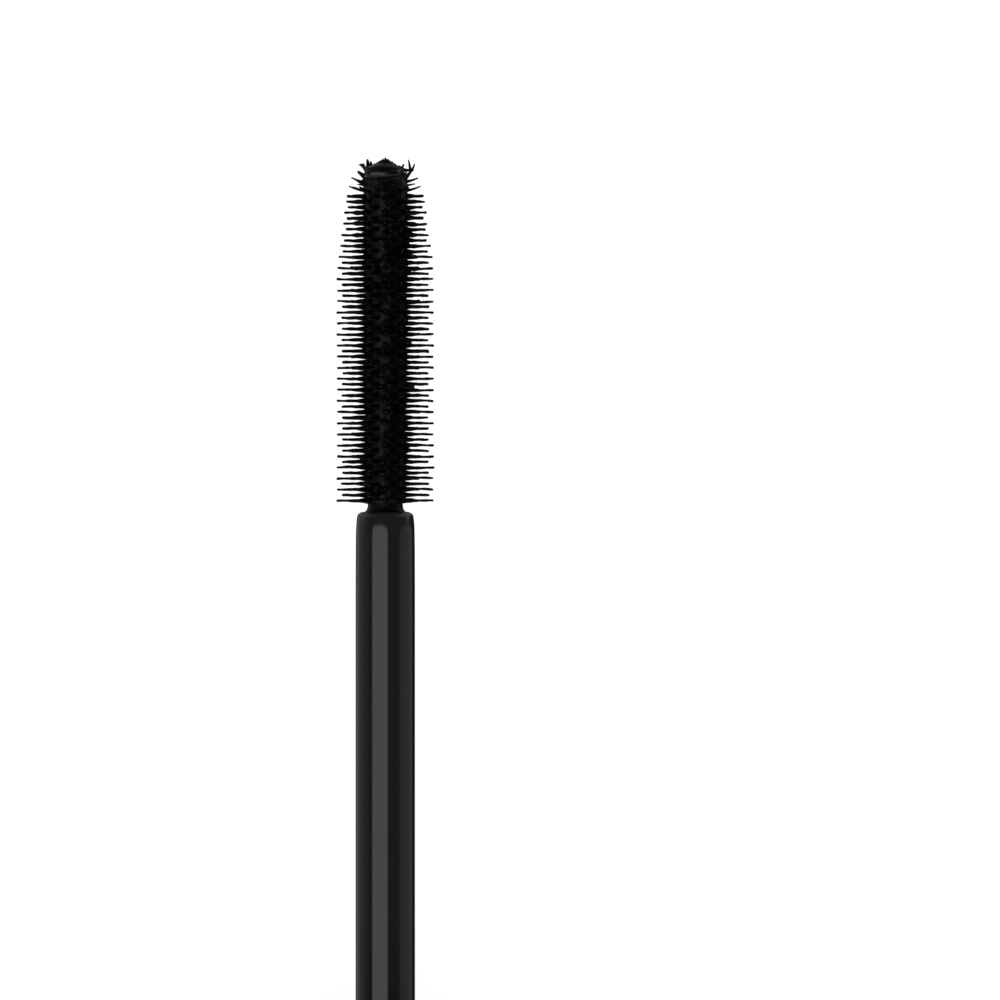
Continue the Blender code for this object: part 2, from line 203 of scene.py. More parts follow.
def pin_material():
    """The bristles: soft black elastomer with a thin uneven film of product."""
    made, tree, shader = new_material("bristle_black", (0.0012, 0.0012, 0.0013), 0.42)
    shader.inputs["Specular IOR Level"].default_value = 0.20
    film = noise(tree, 4200.0, detail=3.0)
    vary_roughness(tree, shader, film, 0.30, 0.55)
    bump(tree, shader, film, 0.012 * MM, 0.5)
    return made


def stained_material(name, clean, roughness, start, end, ragged_by):
    """Pale plastic with product on it: black inside radius start, clean beyond end, ragged between."""
    made, tree, shader = new_material(name, clean, roughness)
    shader.inputs["Subsurface Weight"].default_value = 0.15
    shader.inputs["Subsurface Radius"].default_value = (0.6 * MM, 0.6 * MM, 0.5 * MM)
    places = tree.nodes.new("ShaderNodeTexCoord")
    parts = tree.nodes.new("ShaderNodeSeparateXYZ")
    flat = tree.nodes.new("ShaderNodeCombineXYZ")
    length = tree.nodes.new("ShaderNodeVectorMath")
    length.operation = "LENGTH"
    tree.links.new(places.outputs["Object"], parts.inputs["Vector"])
    tree.links.new(parts.outputs["X"], flat.inputs["X"])
    tree.links.new(parts.outputs["Y"], flat.inputs["Y"])
    tree.links.new(flat.outputs["Vector"], length.inputs[0])
    ragged = tree.nodes.new("ShaderNodeMath")
    ragged.operation = "ADD"
    tree.links.new(length.outputs["Value"], ragged.inputs[0])
    smears = noise(tree, 420.0, detail=4.0)
    tree.links.new(spread(tree, smears, NOISE_LOW, NOISE_HIGH, -ragged_by, ragged_by), ragged.inputs[1])
    cleanness = spread(tree, ragged.outputs["Value"], start, end, 0.0, 1.0)
    colour = mix_colours(tree, cleanness, (0.004, 0.004, 0.004), clean)
    tree.links.new(colour, shader.inputs["Base Color"])
    vary_roughness(tree, shader, cleanness, 0.22, roughness, 0.0, 1.0)
    bump(tree, shader, smears, 0.03 * MM, 0.3)
    return made


def tool_rings(tree, scale):
    """Fine rings round the piece's axis, as turning leaves them. Returns their Fac socket."""
    places = tree.nodes.new("ShaderNodeTexCoord")
    pattern = tree.nodes.new("ShaderNodeTexWave")
    pattern.wave_type = "RINGS"
    pattern.rings_direction = "Z"
    pattern.inputs["Scale"].default_value = scale
    pattern.inputs["Distortion"].default_value = 1.5
    pattern.inputs["Detail Scale"].default_value = 0.4
    tree.links.new(places.outputs["Object"], pattern.inputs["Vector"])
    return pattern.outputs["Fac"]


def plated_material():
    """Dark plated trim, turned, with fine rings."""
    made, tree, shader = new_material("plated_dark", (0.26, 0.26, 0.27), 0.20, metallic=1.0)
    turning = tool_rings(tree, 2600.0)
    vary_roughness(tree, shader, turning, 0.15, 0.26, 0.0, 1.0)
    bump(tree, shader, turning, 0.002 * MM, 0.4)
    return made


def steel_material():
    """The bare turned steel of the weight."""
    made, tree, shader = new_material("turned_steel", (0.45, 0.45, 0.46), 0.35, metallic=1.0)
    vary_roughness(tree, shader, tool_rings(tree, 1300.0), 0.28, 0.42, 0.0, 1.0)
    return made


def foam_material():
    """The liner: pale closed-cell foam."""
    made, tree, shader = new_material("liner_foam", (0.80, 0.80, 0.78), 0.62)
    cells = noise(tree, 5200.0, detail=2.0)
    vary_colour(tree, shader, cells, (0.66, 0.66, 0.65), (0.84, 0.84, 0.82))
    bump(tree, shader, cells, 0.02 * MM, 0.5)
    return made


def paper_material():
    """The blank sticker: coated grey paper with a trace of fibre."""
    made, tree, shader = new_material("sticker_paper", (0.58, 0.58, 0.58), 0.55)
    fibres = noise(tree, 2400.0, detail=6.0, stretch=(1.0, 0.3, 1.0))
    vary_colour(tree, shader, fibres, (0.52, 0.52, 0.52), (0.62, 0.62, 0.62))
    bump(tree, shader, fibres, 0.005 * MM, 0.5)
    return made


# ---------------------------------------------------------------- shapes

def to_row(zero):
    """From a piece's own coordinates to the frame, where its axis lies along Y."""
    return Matrix.Translation((0.0, zero, AXIS_HEIGHT)) @ Matrix.Rotation(-math.pi / 2, 4, "X")


def finish_piece(name, mesh, zero, body, look, nodes):
    """Places a mesh, gives it its looks, ties it to its body and hides the CAD nodes it stands for."""
    item = bpy.data.objects.new(name, mesh)
    bpy.context.scene.collection.objects.link(item)
    item.matrix_world = to_row(zero)
    mesh.materials.append(look)
    mesh.shade_smooth()
    mesh.set_sharp_from_angle(angle=SHARP_ANGLE)
    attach(item, body)
    if nodes:
        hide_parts(*nodes)


def dress_hidden(node, look):
    """A CAD node that stays as it is, inside others, with its own material."""
    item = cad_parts[node]
    item.data.materials.clear()
    item.data.materials.append(look)


def mesh_of(bm, name):
    """The finished mesh of a bmesh, which is freed."""
    bmesh.ops.recalc_face_normals(bm, faces=bm.faces)
    mesh = bpy.data.meshes.new(name)
    bm.to_mesh(mesh)
    bm.free()
    return mesh


def skin(bm, rows):
    """The faces between each closed row of vertices and the next."""
    for first, second in zip(rows, rows[1:]):
        sides = len(first)
        for k in range(sides):
            bm.faces.new([first[k], first[(k + 1) % sides], second[(k + 1) % sides], second[k]])


def fan(bm, row, point):
    """The faces between a closed row of vertices and a point."""
    for k in range(len(row)):
        bm.faces.new([row[k], row[(k + 1) % len(row)], point])


def circle(radius):
    """The outline of a round section: the distance from the axis at an angle."""
    return lambda angle: radius


def rounded_square(half, corner):
    """The outline of a square section with round corners."""
    def distance(angle):
        folded = abs((angle + math.pi / 4) % (math.pi / 2) - math.pi / 4)
        flat = half - corner
        if half * math.tan(folded) <= flat:
            return half / math.cos(folded)
        along = flat * (math.cos(folded) + math.sin(folded))
        return along + math.sqrt(along * along - 2 * flat * flat + corner * corner)
    return distance


def turned(*points):
    """Round sections from a profile's (radius, station) points. A radius of 0 is a point on the axis."""
    return [(circle(radius) if radius else None, station) for radius, station in points]


def arc(centre_radius, centre_station, size, start, end, steps=FINE_ARC):
    """Round sections along an arc of a profile. 0 degrees is outward, and 90 is towards the far end."""
    points = []
    for i in range(steps + 1):
        angle = math.radians(start + (end - start) * i / steps)
        points.append((centre_radius + size * math.cos(angle), centre_station + size * math.sin(angle)))
    return turned(*points)


def barrel_end(station, towards):
    """Sections round an eased end of the square barrel. towards is 1 at a far end, -1 at a near one."""
    found = []
    for i in range(FINE_ARC + 1):
        angle = math.pi / 2 * i / FINE_ARC
        inset = BARREL_EDGE * (1 - math.sin(angle))
        drop = BARREL_EDGE * (1 - math.cos(angle))
        outline = rounded_square(BARREL_SIDE / 2 - inset, BARREL_CORNER - inset)
        found.append((outline, station - towards * drop))
    return found if towards > 0 else list(reversed(found))


def loft(sections, closed=False, segments=SEGMENTS):
    """A mesh through (outline, station) sections, in order along the profile of a wall.

    An outline of None is a point on the axis, where the faces are triangles. closed joins the last
    section to the first."""
    bm = bmesh.new()
    angles = [2 * math.pi * i / segments for i in range(segments)]
    rows = []
    for outline, station in sections:
        if outline is None:
            rows.append([bm.verts.new((0.0, 0.0, station))])
            continue
        spots = [(outline(a) * math.cos(a), outline(a) * math.sin(a), station) for a in angles]
        rows.append([bm.verts.new(spot) for spot in spots])
    pairs = list(zip(rows, rows[1:]))
    if closed:
        pairs.append((rows[-1], rows[0]))
    for first, second in pairs:
        for i in range(segments):
            j = (i + 1) % segments
            corners = [first[i % len(first)], second[i % len(second)]]
            corners += [second[j % len(second)], first[j % len(first)]]
            bm.faces.new(list(dict.fromkeys(corners)))
    return mesh_of(bm, "loft")


def thread_ridge(root, crest, start, turns, first_angle):
    """A thread ridge whose ends run out into the wall, as a closed mesh."""
    bm = bmesh.new()
    steps = round(turns * SEGMENTS)
    run_out = SEGMENTS // 8
    rows = []
    for i in range(steps + 1):
        angle = first_angle + 2 * math.pi * turns * i / steps
        station = start + THREAD_PITCH * turns * i / steps
        height = min(1.0, (min(i, steps - i) + 0.5) / run_out)
        top = root + (crest - root) * height
        base = THREAD_HALF_BASE
        flat = THREAD_HALF_CREST
        corners = ((root, -base), (top, -flat), (top, flat), (root, base))
        rows.append([bm.verts.new(polar(radius, angle, station + z)) for radius, z in corners])
    skin(bm, rows)
    bm.faces.new(rows[0])
    bm.faces.new(rows[-1])
    return mesh_of(bm, "thread")


def united(first, second):
    """The union of two meshes, as one mesh."""
    holder = bpy.data.objects.new("holder", first)
    other = bpy.data.objects.new("other", second)
    for item in (holder, other):
        bpy.context.scene.collection.objects.link(item)
    joined = holder.modifiers.new("Union", "BOOLEAN")
    joined.operation = "UNION"
    joined.object = other
    joined.solver = "EXACT"
    bpy.context.view_layer.update()
    evaluated = holder.evaluated_get(bpy.context.evaluated_depsgraph_get())
    mesh = bpy.data.meshes.new_from_object(evaluated)
    for item in (holder, other):
        bpy.data.objects.remove(item)
    return mesh


def polar(radius, angle, station):
    return Vector((radius * math.cos(angle), radius * math.sin(angle), station))


def bent(start, end, bow, steps):
    """Points from start to end, bowed by the vector bow at the middle."""
    return [start.lerp(end, i / steps) + bow * math.sin(math.pi * i / steps) for i in range(steps + 1)]


def add_strand(bm, points, radii, sides=8):
    """A round strand through these points, with a radius at each and a domed end."""
    along = (points[-1] - points[0]).normalized()
    reference = Vector((0.0, 0.0, 1.0)) if abs(along.z) < 0.8 else Vector((1.0, 0.0, 0.0))
    side = along.cross(reference).normalized()
    up = along.cross(side)
    # One loop halfway round the dome comes after the last point's
    spots = list(points) + [points[-1] + along * radii[-1] * 0.7]
    sizes = list(radii) + [radii[-1] * 0.72]
    turns = [2 * math.pi * k / sides for k in range(sides)]
    loops = []
    for spot, size in zip(spots, sizes):
        loops.append([bm.verts.new(spot + (side * math.cos(t) + up * math.sin(t)) * size) for t in turns])
    skin(bm, loops)
    fan(bm, loops[-1], bm.verts.new(points[-1] + along * radii[-1]))
    bm.faces.new(list(reversed(loops[0])))


def add_bead(bm, centre, size, chance):
    """A rounded lump of product."""
    turn = Matrix.Rotation(chance.uniform(0, math.pi), 4, "Z")
    stretch = [chance.uniform(low, high) for low, high in ((0.8, 1.3), (0.8, 1.3), (0.7, 1.2))]
    place = Matrix.Translation(centre) @ turn @ Matrix.Diagonal((*stretch, 1.0))
    bmesh.ops.create_icosphere(bm, subdivisions=2, radius=size, matrix=place)


# ---------------------------------------------------------------- cap

# The outer cap's inside, and the insert's seat, threaded bore and thread
CAP_BORE = 8.0 * MM
CAP_END_WALL = 2.5 * MM
SEAT = 36.8 * MM
SKIRT_BORE = 6.8 * MM
FEMALE_CREST = 6.1 * MM
FEMALE_TURNS = 1.4


def build_cap_shell(look):
    ease = 0.15 * MM
    profile = turned((0, CAP_END_WALL), (CAP_BORE, CAP_END_WALL), (CAP_BORE, CAP_LENGTH - ease),
                     (CAP_BORE + ease, CAP_LENGTH))
    profile += barrel_end(CAP_LENGTH, 1) + barrel_end(0.0, -1) + turned((0, 0.0))
    finish_piece("cap_body", loft(profile), WAND_ZERO, "wand", look, ["cap_shell"])


def build_cap_insert(look):
    """The threaded skirt and, behind the seat, the boss that holds the stem."""
    near, far = ends_of("cap_insert", WAND_ZERO)
    outside = radius_of("cap_insert")
    inside = outside - 1.0 * MM
    hollow = SEAT - 2.5 * MM
    boss = 4.2 * MM
    boss_start = 22.0 * MM
    socket = radius_of("stem") + 0.15 * MM
    socket_start = ends_of("stem", WAND_ZERO)[0] - 0.3 * MM
    ease = 0.25 * MM
    profile = turned((0, socket_start), (socket, socket_start))
    profile += turned((socket, SEAT - ease), (socket + ease, SEAT))
    profile += turned((SKIRT_BORE, SEAT), (SKIRT_BORE, far - ease), (SKIRT_BORE + ease, far))
    profile += turned((outside - ease, far), (outside, far - ease), (outside, near))
    profile += turned((inside, near), (inside, hollow), (boss, hollow))
    profile += turned((boss, boss_start), (0, boss_start))
    # Shutting turns the cap by a turn and a half, so a start half a turn round from the neck's comes to
    # lie over it, half a pitch behind, and each ridge lies in the other's groove
    thread_start = MALE_START - THREAD_PITCH / 2
    thread = thread_ridge(SKIRT_BORE + THREAD_SINK, FEMALE_CREST, thread_start, FEMALE_TURNS, math.pi)
    mesh = united(loft(profile), thread)
    finish_piece("cap_skirt", mesh, WAND_ZERO, "wand", look, ["cap_insert"])


def build_liner(look):
    """The sealing washer, with the shallow dent that the neck's lip leaves in its far face."""
    near, far = ends_of("cap_liner", WAND_ZERO)
    outside = radius_of("cap_liner")
    bore = radius_of("stem") + 0.225 * MM
    ease = 0.12 * MM
    dent = far - 0.08 * MM
    lip_in = 4.7 * MM
    lip_out = 5.3 * MM
    profile = turned((bore + ease, far), (lip_in - ease, far), (lip_in, dent), (lip_out, dent),
                     (lip_out + ease, far))
    profile += arc(outside - ease, far - ease, ease, 90, 0, COARSE_ARC)
    profile += arc(outside - ease, near + ease, ease, 0, -90, COARSE_ARC)
    profile += turned((bore + ease, near), (bore, near + ease), (bore, far - ease))
    mesh = loft(profile, closed=True)
    finish_piece("seal_washer", mesh, WAND_ZERO, "liner", look, ["cap_liner"])


# ---------------------------------------------------------------- stem and brush rod

# The stem's shoulder: its flat, its round edge, then a quick and a slow swelling below it
STEM_END = 88.0 * MM
SHOULDER_RADIUS = 1.48 * MM
SHOULDER_ROUND = 0.30 * MM
SHOULDER_RISE = 0.45 * MM
QUICK_SWELLING = 0.152 * MM
QUICK_TAPER = 0.38 * MM
SLOW_TAPER = 1.5 * MM
SWELLING_LENGTH = 8.0 * MM

# The socket in the stem's end, and the neck between it and the sleeve
SOCKET_RADIUS = 1.0 * MM
SOCKET_DEPTH = 8.5 * MM
NECK_RADIUS = 1.26 * MM

# The sleeve and its rings of pins
SLEEVE_RADIUS = 1.30 * MM
SLEEVE_END = 112.75 * MM
FIRST_RING = 88.8 * MM
RING_PITCH = 0.3995 * MM
RING_COUNT = 56
PINS_PER_RING = 8


def stem_radius(depth, full):
    """The stem's radius at a depth below its shoulder: a small round edge, then a gentle swelling."""
    edge = 1 - min(depth / SHOULDER_ROUND, 1.0)
    rounded = SHOULDER_RISE * math.sqrt(1 - edge * edge)
    quick = QUICK_SWELLING * (1 - math.exp(-depth / QUICK_TAPER))
    slow_swelling = full - SHOULDER_RADIUS - SHOULDER_RISE - QUICK_SWELLING
    return SHOULDER_RADIUS + rounded + quick + slow_swelling * (1 - math.exp(-depth / SLOW_TAPER))


def build_stem(look):
    radius = radius_of("stem")
    start = ends_of("stem", WAND_ZERO)[0]
    bottom = STEM_END - SOCKET_DEPTH
    chamfer = 0.4 * MM
    profile = turned((0, bottom), (SOCKET_RADIUS, bottom), (SOCKET_RADIUS, STEM_END))
    steps = 40
    for i in range(steps + 1):
        # The sections crowd towards the shoulder, where the outline turns quickest
        depth = SWELLING_LENGTH * (i / steps) ** 2.5
        profile += turned((stem_radius(depth, radius), STEM_END - depth))
    profile += turned((radius, start + chamfer), (radius - chamfer, start), (0, start))
    finish_piece("wand_stem", loft(profile), WAND_ZERO, "wand", look, ["stem"])


def build_brush_rod(look):
    """The stiff pin: its plug, the neck that shows, flared where it meets the stem, and its core."""
    core = SLEEVE_RADIUS - 0.35 * MM
    tip = SLEEVE_END - 0.6 * MM
    plug = SOCKET_RADIUS - 0.15 * MM
    plug_end = STEM_END - SOCKET_DEPTH + 0.3 * MM
    plug_point = 0.3 * MM
    base = STEM_END - 0.04 * MM
    flare = SHOULDER_RADIUS - NECK_RADIUS
    flare_height = 0.75 * MM
    flare_taper = 0.15 * MM
    profile = turned((0, tip), (core * 0.6, tip - 0.15 * MM), (core, tip - 0.6 * MM))
    profile += turned((core, FIRST_RING), (NECK_RADIUS, FIRST_RING))
    steps = 12
    for i in range(steps + 1):
        height = flare_height * (1 - i / steps) ** 1.5
        profile += turned((NECK_RADIUS + flare * math.exp(-height / flare_taper), STEM_END + height))
    profile += turned((SHOULDER_RADIUS, base), (plug, base), (plug, plug_end + plug_point), (0, plug_end))
    mesh = loft(profile, segments=64)
    finish_piece("brush_rod", mesh, WAND_ZERO, "wand", look, ["brush_core"])


# ---------------------------------------------------------------- brush

# How far the pins reach, and by how much the two kinds of row and the tapered end fall short of it
PIN_REACH = 3.5 * MM
LONG_ROW_SHORTFALL = 0.07 * MM
SHORT_ROW_SHORTFALL = 0.19 * MM
TAPER_START = 105.4 * MM
TAPER_SLOPE = 0.130
LAST_RING_RISE = 0.19 * MM

# A pin's thickness: its radius at the root, what it loses by the end, and what its root's flare adds
PIN_ROOT_RADIUS = 0.125 * MM
PIN_NARROWING = 0.037 * MM
ROOT_FLARE = 0.11 * MM
FLARE_LENGTH = 0.95 * MM

# The lumps of product on the pins near the tip, placed by their distance out from the sleeve
LONG_ROW_LUMP = 0.055 * MM
SHORT_ROW_LUMP = 0.02 * MM
LUMP_PLACE = 0.82 * MM
LUMP_WIDTH = 0.20 * MM

# The product between the pins: the films' share of the pins, reach, spread (in mm), sag and thickness
FILM_SHARE = 0.6
FILM_REACH = 1.60 * MM
FILM_SPREAD = 0.26
FILM_SAG = 0.30 * MM
FILM_THICKNESS = 0.05 * MM

# The product on the sleeve, how much thicker it is at the tip, and where it thickens
CLOG = 0.18 * MM
CLOG_AT_TIP = 0.12 * MM
TIP_RISE_START = 100.0 * MM
TIP_RISE_LENGTH = 10.0 * MM

# How deep the pins and films are rooted in the sleeve
ROOT_SINK = 0.05 * MM


def ring_angle(ring, pin):
    """Each ring's pins stand in the gaps of the ring before it."""
    return math.pi / PINS_PER_RING * (2 * pin + ring % 2)


def ring_reach(ring):
    """How far a ring's pins reach: a little less in every other ring, and less towards the tip."""
    station = FIRST_RING + ring * RING_PITCH
    most = PIN_REACH - (SHORT_ROW_SHORTFALL if ring % 2 else LONG_ROW_SHORTFALL)
    tapered = PIN_REACH - LONG_ROW_SHORTFALL - TAPER_SLOPE * max(0.0, station - TAPER_START)
    # The last ring stands clear of the one before it
    return min(most, tapered + LAST_RING_RISE * (ring == RING_COUNT - 1))


def tip_share(station):
    """0 along most of the brush, rising smoothly to 1 near its tip."""
    share = min(1.0, max(0.0, (station - TIP_RISE_START) / TIP_RISE_LENGTH))
    return share * share * (3 - 2 * share)


def clog(station):
    """How thickly product covers the sleeve between the pins: more towards the tip."""
    return CLOG + CLOG_AT_TIP * tip_share(station)


def add_sleeve(bm, chance):
    """The sleeve that the pins grow from, uneven with product, in short bands between the rings."""
    sides = 64
    patches = 20
    bands = 2 * RING_COUNT + 6
    unevenness = 0.45
    groove = 0.05 * MM
    peak = 0.2 * MM
    first = FIRST_RING - RING_PITCH / 2
    lumps = [[chance.uniform(-1, 1) for _ in range(patches)] for _ in range(bands + 1)]
    rows = []
    for i in range(bands + 1):
        station = first + i * RING_PITCH / 2
        row = []
        for k in range(sides):
            place = patches * k / sides
            left = int(place) % patches
            lump = lumps[i][left] * (1 - place % 1) + lumps[i][(left + 1) % patches] * (place % 1)
            radius = SLEEVE_RADIUS + clog(station) * (1 + unevenness * lump) - (i % 2 == 0) * groove
            row.append(bm.verts.new(polar(radius, 2 * math.pi * k / sides, station)))
        rows.append(row)
    skin(bm, rows)
    fan(bm, list(reversed(rows[0])), bm.verts.new((0.0, 0.0, first)))
    fan(bm, rows[-1], bm.verts.new((0.0, 0.0, first + bands * RING_PITCH / 2 + peak)))


def add_pin(bm, chance, ring, pin):
    """One moulded pin: flared at its root, a little bowed and uneven with product."""
    station = FIRST_RING + ring * RING_PITCH
    angle = ring_angle(ring, pin) + chance.gauss(0, 0.010)
    reach = ring_reach(ring) + chance.gauss(0, 0.02) * MM
    root = polar(SLEEVE_RADIUS - ROOT_SINK, angle, station)
    end = polar(reach, angle + chance.gauss(0, 0.006), station + chance.gauss(0, 0.016) * MM)
    steps = 10
    points = bent(root, end, Vector((0.0, 0.0, chance.gauss(0, 0.022) * MM)), steps)
    wave = chance.uniform(0, 2 * math.pi)
    lump = tip_share(station) * (SHORT_ROW_LUMP if ring % 2 else LONG_ROW_LUMP)
    radii = []
    for i, point in enumerate(points):
        part = i / steps
        point.z += 0.012 * MM * math.sin(9 * part + wave) * part
        out = (reach - SLEEVE_RADIUS) * part
        flare = ROOT_FLARE * max(0.0, 1 - out / FLARE_LENGTH)
        flare += lump * math.exp(-((out - LUMP_PLACE) / LUMP_WIDTH) ** 2)
        film = 1 + 0.12 * math.sin(13 * part + 2 * wave) + chance.gauss(0, 0.05)
        radii.append((PIN_ROOT_RADIUS - PIN_NARROWING * part) * film + flare)
    add_strand(bm, points, radii)


def add_film(bm, chance, ring, pin):
    """A thin film of product between a pin and one in the next ring, with a sagging free edge."""
    turn = math.pi / PINS_PER_RING * chance.choice((-1, 1))
    station = FIRST_RING + ring * RING_PITCH
    share = tip_share(station)
    more = 0.06 * share + abs(chance.gauss(0, FILM_SPREAD * (1 + 0.5 * share)))
    first_reach = FILM_REACH + more * MM
    last_reach = first_reach + chance.uniform(-0.2, 0.1) * MM
    angle = ring_angle(ring, pin)
    base = SLEEVE_RADIUS - ROOT_SINK
    chord = polar(base, angle + turn, station + RING_PITCH) - polar(base, angle, station)
    steps = 6
    columns = []
    for i in range(steps + 1):
        part = i / steps
        reach = first_reach + (last_reach - first_reach) * part - FILM_SAG * math.sin(math.pi * part)
        inner = polar(base, angle + turn * part, station + RING_PITCH * part)
        outer = polar(reach, angle + turn * part, station + RING_PITCH * part)
        aside = chord.cross(inner).normalized() * FILM_THICKNESS / 2
        corners = (inner + aside, outer + aside * 0.5, outer - aside * 0.5, inner - aside)
        columns.append([bm.verts.new(corner) for corner in corners])
    skin(bm, columns)
    bm.faces.new(list(reversed(columns[0])))
    bm.faces.new(columns[-1])


def build_brush(look):
    """The sleeve with its rings of pins, and the films of product between them."""
    chance = random.Random(5)
    bm = bmesh.new()
    add_sleeve(bm, chance)
    for ring in range(RING_COUNT):
        for pin in range(PINS_PER_RING):
            add_pin(bm, chance, ring, pin)
            # More films on the +X side
            share = FILM_SHARE + 0.2 * math.cos(ring_angle(ring, pin))
            if ring < RING_COUNT - 1 and chance.random() < share:
                add_film(bm, chance, ring, pin)
    mesh = mesh_of(bm, "brush_pins")
    finish_piece("brush_pins", mesh, WAND_ZERO, "wand", look, ["brush_bristles"])


# ---------------------------------------------------------------- tip of the brush

# The strands of the tip's outline, level with the axis on the -X (-1) or +X (1) side, each from its root:
# (side, root reach, root station, end reach, end station, root thickness, bow along the brush), in mm
TIP_STRANDS = (
    (-1, 1.45, 111.15, 2.60, 111.48, 0.26, -0.04),
    (-1, 1.40, 111.50, 1.99, 111.62, 0.22, 0.03),
    (-1, 1.45, 111.76, 2.42, 112.11, 0.28, -0.05),
    (-1, 1.45, 112.24, 1.98, 112.59, 0.24, 0.02),
    (-1, 1.25, 112.55, 1.82, 113.06, 0.36, 0.05),
    (-1, 1.70, 112.98, 2.08, 113.03, 0.05, 0.01),
    (-1, 1.20, 112.60, 1.29, 113.38, 0.44, 0.00),
    (-1, 0.98, 112.80, 1.05, 113.25, 0.34, 0.00),
    (1, 1.40, 111.15, 2.52, 111.48, 0.26, -0.04),
    (1, 1.40, 111.50, 2.14, 111.66, 0.22, 0.02),
    (1, 1.40, 111.80, 2.34, 112.08, 0.28, -0.03),
    (1, 1.36, 111.92, 1.90, 112.58, 0.30, -0.02),
    (1, 1.36, 112.10, 1.86, 112.62, 0.26, -0.03),
    (1, 1.10, 112.72, 1.93, 112.66, 0.34, -0.04),
    (1, 1.82, 112.60, 1.68, 113.38, 0.24, 0.02),
    (1, 1.90, 112.58, 2.11, 113.08, 0.24, -0.02),
    (1, 0.95, 112.95, 1.36, 112.74, 0.12, 0.05),
)

# The dome's profile, as (reach, station) in mm, and how steeply the matted strands on it fall away
TIP_DOME = (
    (1.52, 110.9), (1.50, 111.6), (1.42, 112.1), (1.34, 112.5), (1.22, 112.75), (1.02, 112.95),
    (0.72, 113.10), (0.42, 113.25), (0.25, 113.32), (0.12, 113.42), (0.03, 113.57),
)
DOME_TOP = 113.5 * MM
DOME_SLOPE = 0.55

# The wet patch on the tip's upper side, in mm: an ellipsoid's centre and half sizes, and its strands' top
PATCH_CENTRE = (-0.18, -0.84, 112.45)
PATCH_SIZE = (1.34, 0.76, 0.66)
PATCH_TOP = 113.44

# The stations of the rows of leaning pins, and how many matted strands and beads of product there are
LEANING_ROWS = (111.1 * MM, 111.5 * MM, 111.9 * MM, 112.3 * MM)
DOME_STRANDS = 110
PATCH_STRANDS = 80
TIP_BEADS = 60
SLEEVE_BEADS = 260


def add_dome(bm, chance):
    """The lump of product that closes the tip, drawn up to a point."""
    sides = 48
    rows = []
    for reach, station in TIP_DOME:
        row = []
        for k in range(sides):
            angle = 2 * math.pi * k / sides
            rough = 1 + 0.05 * math.sin(3 * angle + 9 * station / MM) + chance.gauss(0, 0.035)
            lift = chance.gauss(0, 0.02) * MM * (reach > 0.2)
            row.append(bm.verts.new(polar(reach * MM * rough, angle, station * MM + lift)))
        rows.append(row)
    skin(bm, rows)
    bm.faces.new(list(reversed(rows[0])))
    bm.faces.new(rows[-1])


def add_outline_strands(bm):
    """The strands of TIP_STRANDS, each narrowing towards its end."""
    steps = 6
    for side, root_reach, root_station, end_reach, end_station, thickness, bow in TIP_STRANDS:
        angle = 0.0 if side > 0 else math.pi
        start = polar(root_reach * MM, angle, root_station * MM)
        end = polar(end_reach * MM, angle, end_station * MM)
        points = bent(start, end, Vector((0.0, 0.0, bow * MM)), steps)
        radii = [thickness * MM / 2 * (1 - 0.6 * i / steps) for i in range(steps + 1)]
        add_strand(bm, points, radii)


def add_leaning_pins(bm, chance):
    """Pins that lean forward above and below the tip, clear of the outline's strands on either side."""
    steps = 5
    for row, station in enumerate(LEANING_ROWS):
        for pin in range(2, 2 * PINS_PER_RING - 1):
            angle = math.pi / PINS_PER_RING * pin + chance.gauss(0, 0.05)
            beside = abs(math.sin(angle)) < 0.3
            on_patch = row > 0 and math.sin(angle) < -0.6
            if beside or on_patch:
                continue
            reach = (2.5 - 0.22 * row + chance.gauss(0, 0.06)) * MM
            start = polar(1.35 * MM, angle, station)
            end = polar(reach, angle, station + (0.3 + 0.16 * row) * MM)
            points = bent(start, end, Vector((0.0, 0.0, -0.04 * MM)), steps)
            add_strand(bm, points, [(0.13 - 0.012 * i) * MM for i in range(steps + 1)])


def add_dome_strands(bm, chance):
    """Short matted strands that stand up out of the dome."""
    for _ in range(DOME_STRANDS):
        angle = chance.uniform(0, 2 * math.pi)
        reach = chance.uniform(0.15, 1.30) * MM
        height = DOME_TOP - DOME_SLOPE * reach
        start = polar(reach * 0.9, angle, height - 0.25 * MM)
        end = polar(reach * chance.uniform(0.9, 1.1), angle, height + chance.uniform(-0.02, 0.08) * MM)
        add_strand(bm, [start, end], [0.11 * MM, 0.04 * MM], sides=6)


def patch_front(x, station):
    """How far the wet patch stands out, towards -Y, at a place across and along the brush, in mm."""
    across = (x - PATCH_CENTRE[0]) / PATCH_SIZE[0]
    along = (station - PATCH_CENTRE[2]) / PATCH_SIZE[2]
    return PATCH_CENTRE[1] - PATCH_SIZE[1] * math.sqrt(max(0.0, 1 - across ** 2 - along ** 2))


def add_patch_strands(bm, chance):
    """Thin strands from the wet patch up to the top of the dome, worked out in mm."""
    steps = 4
    for _ in range(PATCH_STRANDS):
        x = chance.uniform(-1.42, 1.15)
        lean = chance.uniform(-0.25, 0.25)
        start = chance.uniform(112.62, 112.82)
        rise = PATCH_TOP - DOME_SLOPE * abs(x) - start
        points = []
        for i in range(steps + 1):
            along = start + rise * i / steps
            across = x * (1 - 0.06 * i) + lean * i / steps
            points.append(Vector((across, patch_front(across, along) - 0.01, along)) * MM)
        add_strand(bm, points, [(0.07 - 0.01 * i) * MM for i in range(steps + 1)], sides=6)


def build_tip(look, chance):
    """The ragged tip: the dome, the strands of its outline, leaning pins and matted strands."""
    bm = bmesh.new()
    add_dome(bm, chance)
    add_outline_strands(bm)
    add_leaning_pins(bm, chance)
    add_dome_strands(bm, chance)
    add_patch_strands(bm, chance)
    mesh = mesh_of(bm, "brush_tip")
    finish_piece("brush_tip", mesh, WAND_ZERO, "wand", look, [])


